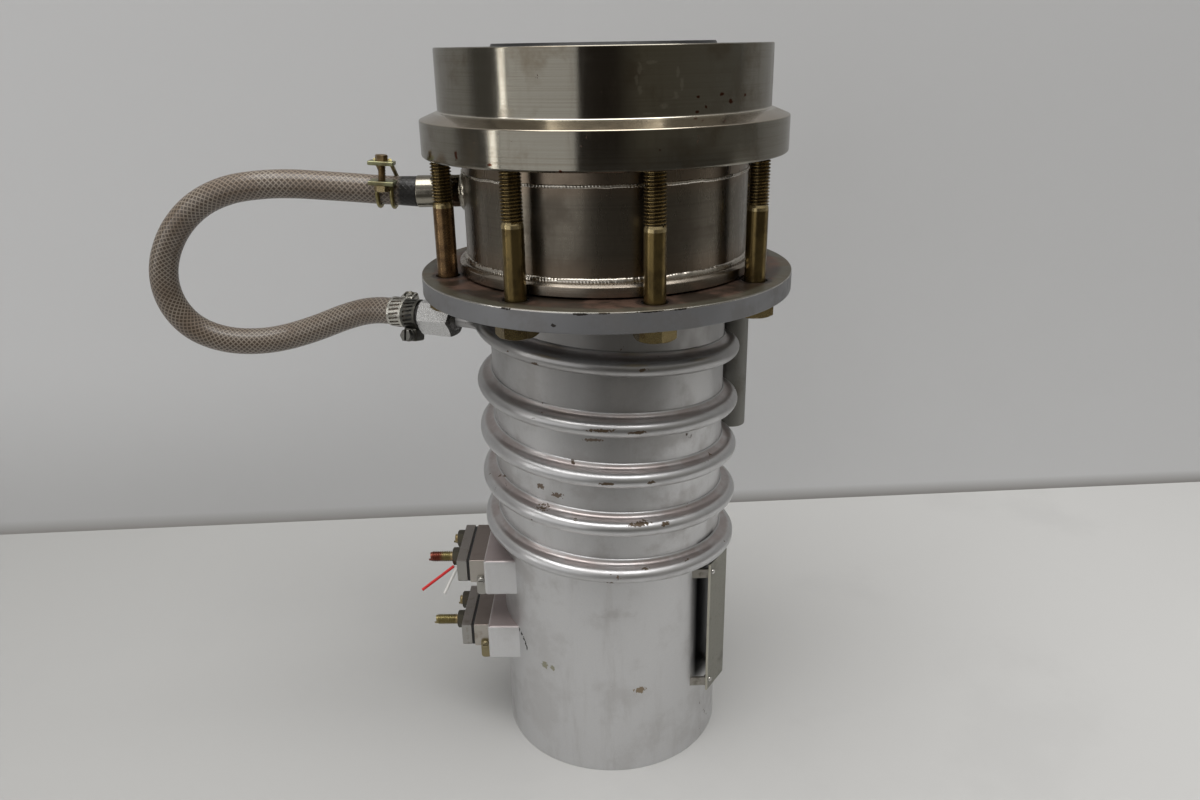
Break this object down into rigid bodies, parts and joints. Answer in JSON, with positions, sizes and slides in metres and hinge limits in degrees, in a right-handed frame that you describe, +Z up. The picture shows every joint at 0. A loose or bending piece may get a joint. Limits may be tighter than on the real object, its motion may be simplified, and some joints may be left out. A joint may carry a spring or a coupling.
{
  "type": "diffusion pump",
  "caption": "Four-inch oil diffusion pump with coil-cooled barrel, water-cooled baffle, bolted inlet adapter and a braided water hose looped between coil and baffle.",
  "frame": {"origin": "centre of the underside of the heater skirt, on the floor", "axes": "+Z up to the inlet, +Y to the fore-vacuum port at the back, -X to the terminals and the hose"},
  "size_m": [0.3289, 0.2019, 0.3741],
  "materials": {
    "machined_steel": "fine-turned stainless steel, bare, lightly stained",
    "blasted_steel": "bead-blasted stainless steel, bare, with weld beads",
    "silver_paint": "heat-resisting aluminium-silver paint, chipped and dusty",
    "yellow_zinc": "yellow-passivated zinc on steel, browned with age",
    "black_rubber": "black vacuum rubber, slightly greased",
    "bright_steel": "bright bare steel",
    "dark_steel": "darkened, oily steel",
    "grey_steel": "dull plated sheet steel",
    "plate_metal": "blank aged sheet metal, satin",
    "braided_hose": "clear flexible vinyl over a woven white braid, aged pinkish brown",
    "jet_aluminium": "spun aluminium, matt",
    "fibre_pad": "pressed white ceramic fibre",
    "red_lead": "red wire insulation",
    "white_lead": "white wire insulation"
  },
  "bodies": {
    "pump": {"adapter_flange": "machined_steel", "foreline_port": "machined_steel", "baffle_shell": "blasted_steel", "baffle_ring": "blasted_steel", "baffle_inner_tube": "blasted_steel", "baffle_louver": "blasted_steel", "baffle_stop_plate": "blasted_steel", "baffle_struts": "blasted_steel", "barrel": "silver_paint", "heater_skirt": "silver_paint", "inlet_flange": "silver_paint", "cooling_coil": "silver_paint", "upper_terminal_block": "silver_paint", "lower_terminal_block": "silver_paint", "flange_bolts": "yellow_zinc", "wire_clamp_hoops": "yellow_zinc", "wire_clamp_bridge": "yellow_zinc", "wire_clamp_saddle": "yellow_zinc", "wire_clamp_nut": "yellow_zinc", "upper_terminal_studs": "yellow_zinc", "lower_terminal_studs": "yellow_zinc", "earth_screws": "yellow_zinc", "earth_lugs": "yellow_zinc", "top_o_ring": "black_rubber", "lower_seal": "black_rubber", "upper_terminal_gasket": "black_rubber", "lower_terminal_gasket": "black_rubber", "supply_nipple": "bright_steel", "return_nipple": "bright_steel", "coil_inlet_fitting": "bright_steel", "coil_outlet_fitting": "bright_steel", "bright_clamp_band": "bright_steel", "bright_clamp_housing": "bright_steel", "tie_rod": "bright_steel", "tie_nut": "bright_steel", "plate_rivets": "bright_steel", "dark_clamp_band": "dark_steel", "dark_clamp_housing": "dark_steel", "upper_terminal_nuts": "dark_steel", "lower_terminal_nuts": "dark_steel", "plate_straps": "dark_steel", "band_heater": "dark_steel", "upper_terminal_box": "grey_steel", "lower_terminal_box": "grey_steel", "upper_terminal_end_plate": "grey_steel", "lower_terminal_end_plate": "grey_steel", "switch_pocket": "grey_steel", "base_cover": "grey_steel", "rating_plate": "plate_metal", "hose": "braided_hose", "jet_skirt": "jet_aluminium", "lower_jet": "jet_aluminium", "middle_jet": "jet_aluminium", "top_jet": "jet_aluminium", "insulation_pad": "fibre_pad", "red_lead": "red_lead", "white_lead": "white_lead"},
    "wire_clamp_screw_body": {"wire_clamp_screw": "yellow_zinc"},
    "dark_clamp_screw_body": {"dark_clamp_screw": "dark_steel"},
    "bright_clamp_screw_body": {"bright_clamp_screw": "bright_steel"}
  },
  "joints": [
    {"name": "wire_clamp_turn", "type": "hinge", "parent": "pump", "child": "wire_clamp_screw_body", "pos_m": [-0.10757, -0.01248, 0.30731], "axis": [0.0728, 0, 0.9973], "continuous": true},
    {"name": "dark_clamp_turn", "type": "hinge", "parent": "pump", "child": "dark_clamp_screw_body", "pos_m": [-0.10159, 0.00346, 0.23186], "axis": [0.3447, 0.9159, -0.2058], "continuous": true},
    {"name": "bright_clamp_turn", "type": "hinge", "parent": "pump", "child": "bright_clamp_screw_body", "pos_m": [-0.10497, 0.01812, 0.24598], "axis": [-0.0757, -0.2865, 0.9551], "continuous": true}
  ]
}
